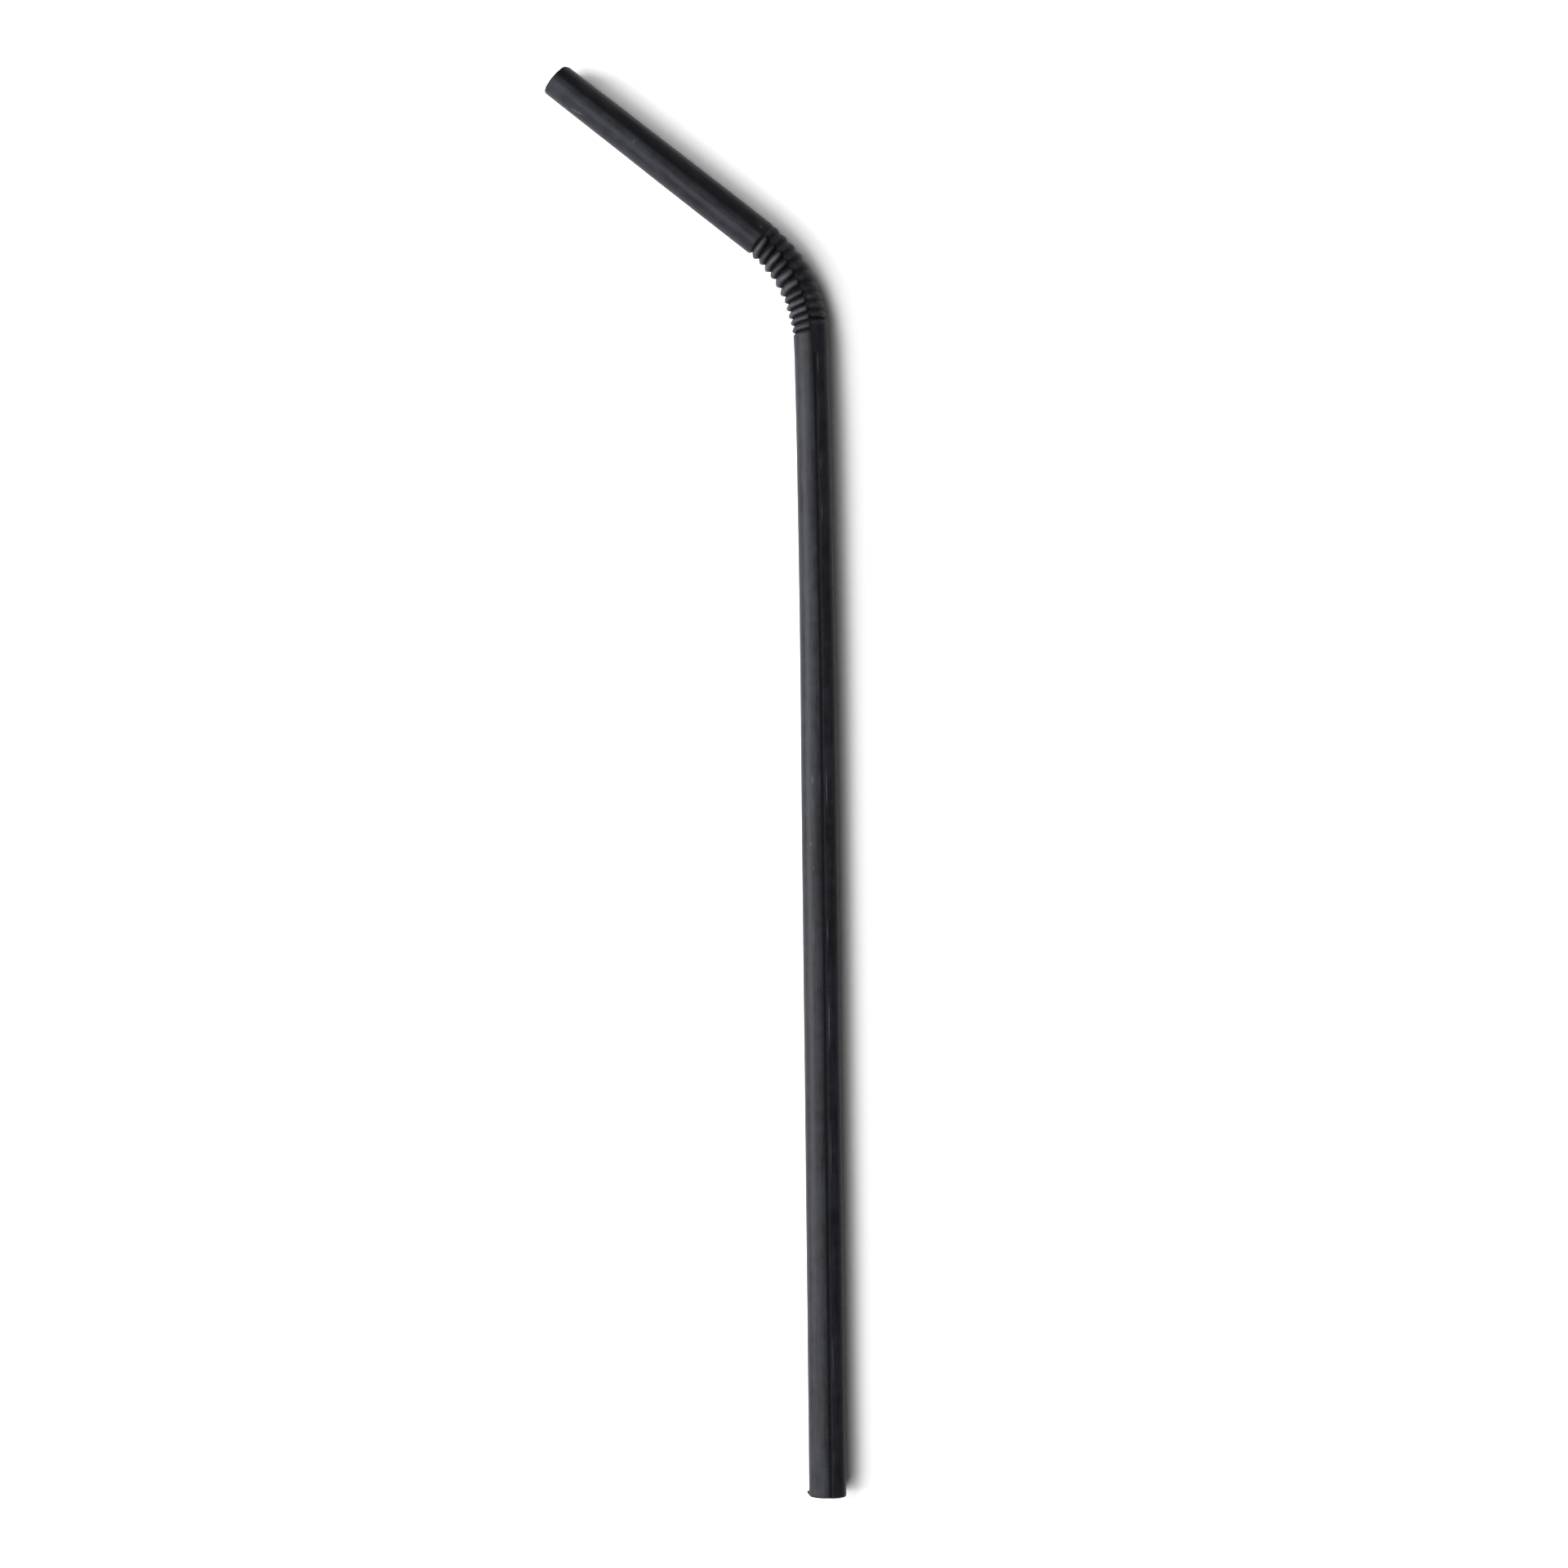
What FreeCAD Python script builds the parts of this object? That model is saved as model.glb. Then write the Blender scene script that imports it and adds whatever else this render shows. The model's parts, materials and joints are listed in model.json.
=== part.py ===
import FreeCAD, Part
import math
import os

from FreeCAD import Placement, Rotation, Vector

# A bendy paper straw: one sheet of coated paper rolled once round a mandrel and glued down its
# own lap, with a crimped bellows between the long leg and the short one. It lies on its side on
# a flat surface, bent at the bellows. All lengths are in millimetres and all angles in degrees.

# The sheet, and how it is rolled.
TUBE_DIAMETER = 5.0
SHEET = 0.22
LAP_WIDTH = 2.0
LIP_BEVEL = 0.30
RAMP_WIDTH = 0.70
SEAM_ANGLE = 10.0

# The run of the straw, from the foot that stands in the drink to the mouth.
STEM_LENGTH = 103.6
BOW_LENGTH = 56.8
BOW_ANGLE = 0.8
SHORT_LEG_LENGTH = 35.5

# The crimped bellows. Its ribs have pulled open unevenly, so each has its own share of the bend,
# from the foot to the mouth, and so has the shoulder at each end. Each rib flares towards the
# foot, so its crest is near its foot side.
RIB_BENDS = (3.6, 3.2, 3.6, 3.5, 3.7, 4.6, 4.9, 4.1, 4.1, 4.0, 4.4)
FOOT_SHOULDER_BEND = 4.5
MOUTH_SHOULDER_BEND = 2.4
BEND_RADIUS = 19.4
GROOVE_DEPTH = 0.36
CREST_RISE = 0.04
RIB_CREST = 0.35
RIB_ROUNDING = 1.8
SHOULDER_ROUND = 0.45
SEAM_TWIST = 9.5

# The cuts across the ends, by how far each leans from square to its leg.
FOOT_LEAN = 2.0
MOUTH_LEAN = 3.0
MOUTH_SKEW = 4.0

# Where sections are drawn across a rib: 0 is its crest, -1 its foot groove and 1 its mouth groove.
RIB_SECTIONS = (-1, -0.5, 0, 0.4, 0.75, 1)

tube_radius = TUBE_DIAMETER / 2
crest_radius = tube_radius + CREST_RISE
groove_radius = crest_radius - GROOVE_DEPTH
axis_height = max(crest_radius, tube_radius)


def polar(radius, angle):
    """A point of a section, by its angle from the top towards the right of the run."""
    turn = math.radians(angle)
    return Vector(radius * math.sin(turn), 0, radius * math.cos(turn))


def arc(radius_1, angle_1, radius_2, angle_2):
    """An arc from one polar point to another, clockwise, through the point midway."""
    middle = polar((radius_1 + radius_2) / 2, (angle_1 + angle_2) / 2)
    return Part.Arc(polar(radius_1, angle_1), middle, polar(radius_2, angle_2)).toShape()


def line(radius_1, angle_1, radius_2, angle_2):
    """A straight edge from one polar point to another."""
    return Part.LineSegment(polar(radius_1, angle_1), polar(radius_2, angle_2)).toShape()


def sheet_angle(width):
    """The angle that a width of sheet takes up round the tube."""
    return math.degrees(width / tube_radius)


# Angles round the section where the rolled sheet changes: the foot and the lip of its outer free
# edge, its inner free edge under the lap, and the end of the ramp that climbs onto that edge.
edge_foot = SEAM_ANGLE - sheet_angle(LIP_BEVEL) / 2
edge_lip = edge_foot + sheet_angle(LIP_BEVEL)
inner_edge = edge_foot + sheet_angle(LAP_WIDTH)
ramp_end = inner_edge + sheet_angle(RAMP_WIDTH)


def outer_wire(radius):
    """The outside of the rolled sheet: bevelled free edge, raised lap, ramp, single wall."""
    raised = radius + SHEET
    edges = [
        line(radius, edge_foot, raised, edge_lip),
        arc(raised, edge_lip, raised, inner_edge),
        arc(raised, inner_edge, radius, ramp_end),
        arc(radius, ramp_end, radius, edge_foot + 360),
    ]
    return Part.Wire(edges)


def inner_wire(radius):
    """The inside of the rolled sheet: square inner edge, the gap beside it, the mandrel's round."""
    bore = radius - SHEET
    edges = [
        line(bore, inner_edge, radius, inner_edge),
        arc(radius, inner_edge, bore, ramp_end),
        arc(bore, ramp_end, bore, inner_edge + 360),
    ]
    return Part.Wire(edges)


class Station:
    """A place on the run: a point, a heading turned left from +Y, and the seam's twist."""

    def __init__(self, point, heading, twist):
        self.point = point
        self.heading = heading
        self.twist = twist

    def placement(self):
        """Carries a section drawn square to +Y to this place on the run."""
        turned = Rotation(Vector(0, 0, 1), self.heading)
        twisted = Rotation(Vector(0, 1, 0), self.twist)
        return Placement(self.point, turned.multiply(twisted))

    def direction(self):
        """The unit vector along the run."""
        turn = math.radians(self.heading)
        return Vector(-math.sin(turn), math.cos(turn), 0)

    def bend_centre(self, radius):
        """The centre of a bend to the left that starts here."""
        turn = math.radians(self.heading)
        return self.point + Vector(-math.cos(turn), -math.sin(turn), 0) * radius

    def ahead(self, length):
        """The station a straight length further on."""
        return Station(self.point + self.direction() * length, self.heading, self.twist)

    def round_bend(self, radius, angle, twist=0):
        """The station past a bend to the left, with the seam twisted on by an angle."""
        centre = self.bend_centre(radius)
        turned = Rotation(Vector(0, 0, 1), angle)
        point = centre + turned.multVec(self.point - centre)
        return Station(point, self.heading + angle, self.twist + twist)

    def place(self, shape):
        """A copy of a shape drawn square to +Y, put at this station."""
        placed = shape.copy()
        placed.Placement = self.placement().multiply(placed.Placement)
        return placed


def wall_face(station):
    """The whole section of the rolled sheet, at a station of the plain tube."""
    wall = Part.Face(outer_wire(tube_radius)).cut(Part.Face(inner_wire(tube_radius)))
    return station.place(wall.Faces[0])


def straight_tube(start, length):
    """A straight run of plain tube."""
    return wall_face(start).extrude(start.direction() * length)


def bowed_tube(start, radius, angle):
    """A gently bowed run of plain tube."""
    return wall_face(start).revolve(start.bend_centre(radius), Vector(0, 0, 1), angle)


def crimped_tube(stations, radii):
    """Tube whose radius changes along it, lofted in straight bands between creased sections."""
    outer_wires = [s.place(outer_wire(r)) for s, r in zip(stations, radii)]
    inner_wires = [s.place(inner_wire(r)) for s, r in zip(stations, radii)]
    solid, ruled = True, True
    return Part.makeLoft(outer_wires, solid, ruled).cut(Part.makeLoft(inner_wires, solid, ruled))


def rib_height(section):
    """How far a rib stands over its grooves, 0 to 1: full at the crest, falling off each side."""
    return 1 - abs(section) ** RIB_ROUNDING


def rib(start, angle, twist):
    """One rib of the bellows, from groove to groove round the bend, with its crest off centre."""
    sides = [RIB_CREST if s < 0 else 1 - RIB_CREST for s in RIB_SECTIONS]
    shares = [RIB_CREST + s * side for s, side in zip(RIB_SECTIONS, sides)]
    stations = [start.round_bend(BEND_RADIUS, angle * s, twist * s) for s in shares]
    radii = [groove_radius + GROOVE_DEPTH * rib_height(s) for s in RIB_SECTIONS]
    return crimped_tube(stations, radii)


def shoulder(start, bend, towards_groove):
    """The end of a leg, rounded over into the bellows' end groove, as the bend goes on."""
    round_share = SHOULDER_ROUND / (BEND_RADIUS * math.radians(bend))
    sections = [s for s in RIB_SECTIONS if s >= 0]
    shares = [0] + [1 - round_share * (1 - s) for s in sections]
    radii = [tube_radius] + [
        groove_radius + (tube_radius - groove_radius) * rib_height(s) for s in sections
    ]
    if not towards_groove:
        shares = [1 - s for s in reversed(shares)]
        radii.reverse()
    stations = [start.round_bend(BEND_RADIUS, bend * s) for s in shares]
    return crimped_tube(stations, radii)


def beyond_cut(station, lean, skew):
    """A block that lies past an end's cut, to take off what the cut takes off."""
    side = 4 * TUBE_DIAMETER
    block = Part.makeBox(side, side, side, Vector(-side / 2, 0, -side / 2))
    leaning = Rotation(Vector(1, 0, 0), -lean)
    skewed = Rotation(Vector(0, 0, 1), skew)
    block.Placement = Placement(Vector(0, 0, 0), skewed.multiply(leaning))
    return Station(station.point, station.heading, 0).place(block)


def cut_allowance(*leans):
    """How much longer a leg is made before its end is cut on the lean."""
    return tube_radius * sum(math.tan(math.radians(abs(a))) for a in leans) + 1


# The stem and the bow that follows it, with spare length at the foot for its cut.
foot = Station(Vector(0, 0, axis_height), 0, 0)
foot_spare = cut_allowance(FOOT_LEAN)
bow_start = foot.ahead(STEM_LENGTH)
bow_radius = BOW_LENGTH / math.radians(BOW_ANGLE)
bow_end = bow_start.round_bend(bow_radius, BOW_ANGLE)
stem = straight_tube(foot.ahead(-foot_spare), STEM_LENGTH + foot_spare)
bow = bowed_tube(bow_start, bow_radius, BOW_ANGLE)

# The bellows, rib by rib, with the seam twisted on by each rib in proportion to its width.
ribs_bend = sum(RIB_BENDS)
pieces = [stem, bow, shoulder(bow_end, FOOT_SHOULDER_BEND, True)]
station = bow_end.round_bend(BEND_RADIUS, FOOT_SHOULDER_BEND)
for rib_bend in RIB_BENDS:
    rib_turn = (rib_bend, SEAM_TWIST * rib_bend / ribs_bend)
    pieces.append(rib(station, *rib_turn))
    station = station.round_bend(BEND_RADIUS, *rib_turn)
pieces.append(shoulder(station, MOUTH_SHOULDER_BEND, False))

# The short leg, with spare length at the mouth for its cut.
leg_start = station.round_bend(BEND_RADIUS, MOUTH_SHOULDER_BEND)
mouth = leg_start.ahead(SHORT_LEG_LENGTH)
mouth_spare = cut_allowance(MOUTH_LEAN, MOUTH_SKEW)
pieces.append(straight_tube(leg_start, SHORT_LEG_LENGTH + mouth_spare))

straw = pieces[0].multiFuse(pieces[1:])
foot_cut = beyond_cut(Station(foot.point, 180, 0), FOOT_LEAN, 0)
mouth_cut = beyond_cut(mouth, MOUTH_LEAN, MOUTH_SKEW)
straw = straw.cut(foot_cut).cut(mouth_cut)

# The origin is under the middle of the straw's box, on the surface that it lies on.
box = straw.optimalBoundingBox()
to_origin = Vector(-box.Center.x, -box.Center.y, -box.ZMin)
straw.translate(to_origin)

os.makedirs("parts", exist_ok=True)
straw.Solids[0].exportStep("parts/paper_straw.step")

# The run's own length times the plain section says whether the solid has the volume it should.
bellows_bend = FOOT_SHOULDER_BEND + ribs_bend + MOUTH_SHOULDER_BEND
bellows_length = BEND_RADIUS * math.radians(bellows_bend)
run_length = STEM_LENGTH + BOW_LENGTH + bellows_length + SHORT_LEG_LENGTH
print("solids", len(straw.Solids), "faces", len(straw.Faces), "valid", straw.isValid())
print("volume mm3", round(straw.Volume, 2), "section x run", round(wall_face(foot).Area * run_length, 2))
print("run mm", round(run_length, 2), "box mm", straw.optimalBoundingBox())
print("foot at", foot.point + to_origin, "stem top at", bow_start.point + to_origin)
print("short leg from", leg_start.point + to_origin, "to", mouth.point + to_origin)
print("short leg direction", leg_start.direction(), "bore radius", tube_radius - SHEET)
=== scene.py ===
# %% [markdown]
# # A bendy paper straw
# A drinking straw is one sheet of coated black paper, rolled once round a steel mandrel and glued
# down along its own edge. Near the top the tube is crimped into a bellows so that it can be bent.
# This lesson builds the looks of that one piece round a fixed frame that gives its size and place.
# Everything is in metres, so each size is written in millimetres times `MM`.

# %% Load the frame
import json
import math

import bpy
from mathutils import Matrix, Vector


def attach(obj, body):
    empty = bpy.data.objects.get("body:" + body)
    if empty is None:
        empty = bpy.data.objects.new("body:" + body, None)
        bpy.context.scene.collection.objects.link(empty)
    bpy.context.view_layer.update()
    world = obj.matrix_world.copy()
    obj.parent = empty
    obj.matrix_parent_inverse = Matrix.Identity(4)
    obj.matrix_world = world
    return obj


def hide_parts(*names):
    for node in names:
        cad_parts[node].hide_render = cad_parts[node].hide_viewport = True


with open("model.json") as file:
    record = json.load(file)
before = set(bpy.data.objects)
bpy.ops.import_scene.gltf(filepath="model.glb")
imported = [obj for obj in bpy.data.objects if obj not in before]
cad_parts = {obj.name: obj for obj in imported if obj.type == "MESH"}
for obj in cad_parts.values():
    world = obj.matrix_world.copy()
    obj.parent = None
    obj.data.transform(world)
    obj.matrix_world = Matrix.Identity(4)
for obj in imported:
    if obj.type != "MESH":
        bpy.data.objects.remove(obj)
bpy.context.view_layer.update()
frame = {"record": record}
MM = 0.001

# %% [markdown]
# ## The run of the straw
# A straw is easiest to think of as a line with something swept along it. The line has four
# stretches: the stem, the slight bow that the stem took in the pack, the bend of the bellows and
# the short leg. Each stretch has a length and an angle that it turns through, and an arc's middle
# line is as long as its radius times its angle. The ribs are crimped one by one and pull open
# unevenly when the straw is bent, so each has its own share of the bend. The frame says where the
# foot is.

# %% Sizes of the run
STEM = 103.6 * MM
BOW = 56.8 * MM
BOW_ANGLE = math.radians(0.8)
BEND_RADIUS = 19.4 * MM
FOOT_SHOULDER = math.radians(4.5)
MOUTH_SHOULDER = math.radians(2.4)
RIB_ANGLES = [math.radians(a) for a in (3.6, 3.2, 3.6, 3.5, 3.7, 4.6, 4.9, 4.1, 4.1, 4.0, 4.4)]
SHORT_LEG = 35.5 * MM
TUBE_RADIUS = 2.5 * MM

bend_angle = sum(RIB_ANGLES) + FOOT_SHOULDER + MOUTH_SHOULDER
bellows_start = STEM + BOW + BEND_RADIUS * FOOT_SHOULDER
bellows_end = bellows_start + BEND_RADIUS * sum(RIB_ANGLES)
leg_start = STEM + BOW + BEND_RADIUS * bend_angle
run_length = leg_start + SHORT_LEG
stretches = [(STEM, 0), (BOW, BOW_ANGLE), (BEND_RADIUS * bend_angle, bend_angle), (SHORT_LEG, 0)]

# The frame's mount at the foot lies this far up the bore from the cut.
MOUNT_DEPTH = 1 * MM
mounts = {mount["name"]: mount for mount in frame["record"]["mounts"]}
foot = Vector(mounts["foot_bore"]["pos_m"])
foot.y -= MOUNT_DEPTH
print("run in mm:", round(run_length / MM, 2), "foot at", [round(c / MM, 2) for c in foot])


# %% [markdown]
# ## A point anywhere along the run
# One function walks the stretches and turns left where they turn, so every later step can ask
# for the middle of the tube at any distance from the foot.

# %% Walk along the run
def run_point(distance):
    point, heading = foot.copy(), 0.0
    for number, (length, angle) in enumerate(stretches):
        is_last = number == len(stretches) - 1
        step = distance if is_last else max(0.0, min(distance, length))
        turn = angle * step / length
        chord = step if turn == 0 else 2 * length / angle * math.sin(turn / 2)
        middle = heading + turn / 2
        point += chord * Vector((-math.sin(middle), math.cos(middle), 0))
        heading += turn
        distance -= step
    return point


mouth = run_point(run_length)
print("mouth at", [round(c / MM, 2) for c in mouth])

# %% [markdown]
# ## Where the rings of the mesh go
# A swept tube needs a ring of points wherever its shape changes. The plain legs need few. The cut
# ends need some close together, and each rib needs a ring at every step of its curve. Each ring
# also remembers its place in the bellows, counted in ribs, so that the ribs can be shaped later.

# %% Lay out the rings
RINGS_PER_RIB = 14
LEG_STEP = 2.4 * MM
END_STEPS = [0, 0.06 * MM, 0.14 * MM, 0.3 * MM, 0.5 * MM, 0.75 * MM, 1.1 * MM, 1.6 * MM]
SHOULDER_STEPS = [0.06 * MM, 0.13 * MM, 0.21 * MM, 0.3 * MM, 0.4 * MM, 0.55 * MM, 0.8 * MM]


def spread(start, end, step):
    count = max(2, round((end - start) / step))
    return [start + (end - start) * i / count for i in range(1, count)]


rings = [(s, 0.0) for s in END_STEPS]
rings += [(s, 0.0) for s in spread(END_STEPS[-1], bellows_start - SHOULDER_STEPS[-1], LEG_STEP)]
rings += [(bellows_start - s, 0.0) for s in reversed(SHOULDER_STEPS)]
rib_start = bellows_start
for number, angle in enumerate(RIB_ANGLES):
    rib_width = BEND_RADIUS * angle
    for i in range(RINGS_PER_RIB):
        rings.append((rib_start + rib_width * i / RINGS_PER_RIB, number + i / RINGS_PER_RIB))
    rib_start += rib_width
last = float(len(RIB_ANGLES))
rings.append((bellows_end, last))
rings += [(bellows_end + s, last) for s in SHOULDER_STEPS]
rings += [(s, last) for s in spread(bellows_end + SHOULDER_STEPS[-1], run_length - END_STEPS[-1], LEG_STEP)]
rings += [(run_length - s, last) for s in reversed(END_STEPS)]
print(len(rings), "rings")

# %% [markdown]
# ## The rolled sheet from the end
# Seen from the end, the sheet is a spiral that laps over itself. Its outer free edge is skived
# thin where the blade and the glue wheel pass, then the coated face rolls over a soft lip, runs
# up onto the inner layer, and comes down a ramp past the inner free edge to a single wall. The
# outline goes once round the whole sheet: out along its coated face and back along its inside.
# Each point keeps its distance round the sheet from the outer edge, and says whether it lies on
# a raw edge or on the inside, so that finishes can follow the sheet wherever it is bent.

# %% Sizes of the sheet
SHEET = 0.22 * MM
LAP = 2.0 * MM
RAMP = 1.7 * MM
SKIVE = 0.34 * MM
LIP = 0.2 * MM
SKIVE_TOP = 0.62 * SHEET
LIP_MIDDLE = 0.88 * SHEET
GLUE_LINE = 0.012 * MM
INSIDE_SQUEEZE = 3
OUTSIDE_STEP = math.radians(5)
LAP_STEP = math.radians(4)
INSIDE_STEP = math.radians(6.5)

girth_to_angle = 1 / TUBE_RADIUS
full_turn = 2 * math.pi
lap_end = LAP * girth_to_angle
ramp_end = (LAP + RAMP) * girth_to_angle
lip_start = SKIVE * girth_to_angle
lip_end = (SKIVE + LIP) * girth_to_angle


def arc(start, end, radius_1, radius_2, step, raw=0.0, inside=0.0):
    count = max(1, round(abs(end - start) / step))
    points = []
    for i in range(count):
        share = i / count
        ease = share * share * (3 - 2 * share)
        points.append((start + (end - start) * share, radius_1 + (radius_2 - radius_1) * ease, raw, inside))
    return points


# %% Draw the outline of the sheet
out, bore, top = TUBE_RADIUS, TUBE_RADIUS - SHEET, TUBE_RADIUS + SHEET
under = out + GLUE_LINE
outline = [(0.0, under, 1.0, 1.0), (lip_start, out + SKIVE_TOP, 1.0, 0.0)]
outline += [((lip_start + lip_end) / 2, out + LIP_MIDDLE, 0.0, 0.0)]
outline += arc(lip_end, lap_end, top, top, LAP_STEP)
outline += arc(lap_end, ramp_end, top, out, LAP_STEP)
outline += arc(ramp_end, full_turn, out, out, OUTSIDE_STEP)
outline += arc(full_turn, full_turn + lap_end, out, out, 2 * OUTSIDE_STEP)
outline += [(full_turn + lap_end, out, 1.0, 0.0), (full_turn + lap_end, bore, 1.0, 1.0)]
outline += arc(full_turn + lap_end, ramp_end, bore, bore, INSIDE_STEP, inside=1.0)[1:]
outline += arc(ramp_end, lap_end, bore, under, LAP_STEP, inside=1.0)
outline += arc(lap_end, 0.0, under, under, 2 * OUTSIDE_STEP, inside=1.0)[:-1]

# How far each point is round the outline, counting the inside at a third of its width.
around = [0.0]
for here, there in zip(outline, outline[1:] + outline[:1]):
    is_inside = here[3] > 0.5 and there[3] > 0.5
    width = math.dist(*[(r * math.sin(a), r * math.cos(a)) for a, r, raw, inside in (here, there)])
    around.append(around[-1] + (width / INSIDE_SQUEEZE if is_inside else width))
around_all = around.pop()
print(len(outline), "points round the sheet")


# %% [markdown]
# ## Two guide meshes
# Geometry Nodes sweeps one curve along another. Both guides are made here as plain rows of points
# with their own values on them: the run, open, and the section, closed. The section is drawn flat.
# A sweep lays a profile's X to the right of the run and its Y downwards, so the seam, at the top
# of the tube, is drawn on the side of minus Y.

# %% Make the guides
def guide(name, points, closed, values):
    mesh = bpy.data.meshes.new(name)
    edges = [(i, i + 1) for i in range(len(points) - 1)]
    if closed:
        edges.append((len(points) - 1, 0))
    mesh.from_pydata(points, edges, [])
    for key, numbers in values.items():
        mesh.attributes.new(key, "FLOAT", "POINT").data.foreach_set("value", numbers)
    made = bpy.data.objects.new(name, mesh)
    bpy.context.scene.collection.objects.link(made)
    return made


run_guide = guide(
    "Guide_run",
    [run_point(distance) for distance, place in rings],
    False,
    {"run": [distance for distance, place in rings], "rib": [place for distance, place in rings]},
)
section_guide = guide(
    "Guide_section",
    [(radius * math.sin(angle), -radius * math.cos(angle), 0) for angle, radius, raw, inside in outline],
    True,
    {
        "girth": [angle / girth_to_angle for angle, radius, raw, inside in outline],
        "raw": [raw for angle, radius, raw, inside in outline],
        "inside": [inside for angle, radius, raw, inside in outline],
        "lift": [max(0.0, radius - out) for angle, radius, raw, inside in outline],
        "around": around,
    },
)

# %% [markdown]
# ## One helper for every node
# Node trees read well when each node takes one call. The helper adds a node, applies its settings
# and fills its inputs with numbers, or with links when it is given another node or a socket.

# %% Add a node
def add_node(tree, kind, inputs=(), **settings):
    node = tree.nodes.new(kind)
    for name, setting in settings.items():
        setattr(node, name, setting)
    pairs = inputs.items() if isinstance(inputs, dict) else enumerate(inputs)
    for key, value in pairs:
        if isinstance(value, bpy.types.Node):
            value = next(socket for socket in value.outputs if socket.enabled)
        if isinstance(value, bpy.types.NodeSocket):
            tree.links.new(value, node.inputs[key])
        else:
            node.inputs[key].default_value = value
    return node


# %% [markdown]
# ## Curves drawn through listed points
# Some values follow no rule, such as how wide the tube is here and there. Those are drawn as a
# curve through a few points, from 0 at the start of the stretch to 1 at its end. A new curve has
# two points already, so the first two are moved and the rest are added.

# %% Draw a curve in a node
def draw_curve(node, points):
    curve = node.mapping.curves[0]
    for number, place in enumerate(points):
        if number < 2:
            curve.points[number].location = place
        else:
            curve.points.new(*place)
    node.mapping.update()


# %% [markdown]
# ## The tree and its sizes
# The straw follows a rule, so Geometry Nodes make it: sweep the section along the run, then push
# each point in or out by what the crimping, the packing and the cutting did to the tube. Every
# size that someone may want to change is an input of the tree with a name of its own.

# %% Name the inputs of the tree
tree = bpy.data.node_groups.new("Rolled_crimped_straw", "GeometryNodeTree")
tree_inputs = {
    "Geometry": ("NodeSocketGeometry", None),
    "Section": ("NodeSocketObject", section_guide),
    "Bellows Start": ("NodeSocketFloat", bellows_start),
    "Bellows End": ("NodeSocketFloat", bellows_end),
    "Run Length": ("NodeSocketFloat", run_length),
    "Seam Angle": ("NodeSocketFloat", math.radians(4.6)),
    "Seam Twist": ("NodeSocketFloat", math.radians(9.5)),
    "Rib Count": ("NodeSocketFloat", float(len(RIB_ANGLES))),
    "Groove Depth": ("NodeSocketFloat", 0.46 * MM),
    "Crest Rise Outside Bend": ("NodeSocketFloat", 0.04 * MM),
    "Crest Rise Inside Bend": ("NodeSocketFloat", 0.16 * MM),
    "Crest Near Foot": ("NodeSocketFloat", 0.30),
    "Crest Near Mouth": ("NodeSocketFloat", 0.46),
    "Rib Rounding": ("NodeSocketFloat", 1.8),
    "Rib Waver": ("NodeSocketFloat", 0.21),
    "Rib Variation": ("NodeSocketFloat", 0.2),
    "Shoulder": ("NodeSocketFloat", 0.45 * MM),
    "Seam Skew": ("NodeSocketFloat", 0.22),
    "Seam Skew Reach": ("NodeSocketFloat", 4 * MM),
    "Seam Misfit": ("NodeSocketFloat", 0.42),
    "Seam Misfit Reach": ("NodeSocketFloat", 5.4 * MM),
    "Lap Pressed From": ("NodeSocketFloat", 149 * MM),
    "Lap Pressed Over": ("NodeSocketFloat", 9 * MM),
    "Lap Pressed Flat": ("NodeSocketFloat", 0.85),
    "Lap Width": ("NodeSocketFloat", LAP),
    "Full Depth Past Lap": ("NodeSocketFloat", 4 * MM),
    "Glue Reach": ("NodeSocketFloat", 0.8 * MM),
    "Girth": ("NodeSocketFloat", full_turn / girth_to_angle),
    "Rim Roll": ("NodeSocketFloat", 0.09 * MM),
    "Burr Girth": ("NodeSocketFloat", 11.6 * MM),
    "Burr Height": ("NodeSocketFloat", 0.24 * MM),
    "Burr Half Width At Top": ("NodeSocketFloat", 0.24 * MM),
    "Burr Half Width": ("NodeSocketFloat", 0.62 * MM),
    "Dog Ear Shift": ("NodeSocketFloat", -0.6 * MM),
    "Dog Ear Length": ("NodeSocketFloat", 1.2 * MM),
    "Foot Lean": ("NodeSocketFloat", math.tan(math.radians(2.5))),
    "Mouth Lean": ("NodeSocketFloat", math.tan(math.radians(3))),
    "Mouth Skew": ("NodeSocketFloat", math.tan(math.radians(4))),
    "Unevenness": ("NodeSocketFloat", 0.03 * MM),
    "Seed": ("NodeSocketInt", 7),
}
for name, (kind, value) in tree_inputs.items():
    tree.interface.new_socket(name, in_out="INPUT", socket_type=kind)
tree.interface.new_socket("Geometry", in_out="OUTPUT", socket_type="NodeSocketGeometry")
size = add_node(tree, "NodeGroupInput").outputs

# %% [markdown]
# ## Sweep the sheet along the run
# Both guides become curves. Before the sweep, every ring stores where its middle is and which way
# the run goes there, because the later steps need to know what is inward and what is along. The
# crimping tool turned the seam a little as it went, so the section is tilted through the bellows.

# %% Sweep
run_curve = add_node(tree, "GeometryNodeMeshToCurve", [size["Geometry"]])
run_curve = add_node(tree, "GeometryNodeSetCurveNormal", {"Curve": run_curve}, mode="Z_UP")
for key, kind in (("middle", "GeometryNodeInputPosition"), ("along", "GeometryNodeInputTangent")):
    field = add_node(tree, kind)
    run_curve = add_node(
        tree, "GeometryNodeStoreNamedAttribute", {"Geometry": run_curve, "Name": key, "Value": field},
        data_type="FLOAT_VECTOR", domain="POINT",
    )

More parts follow.
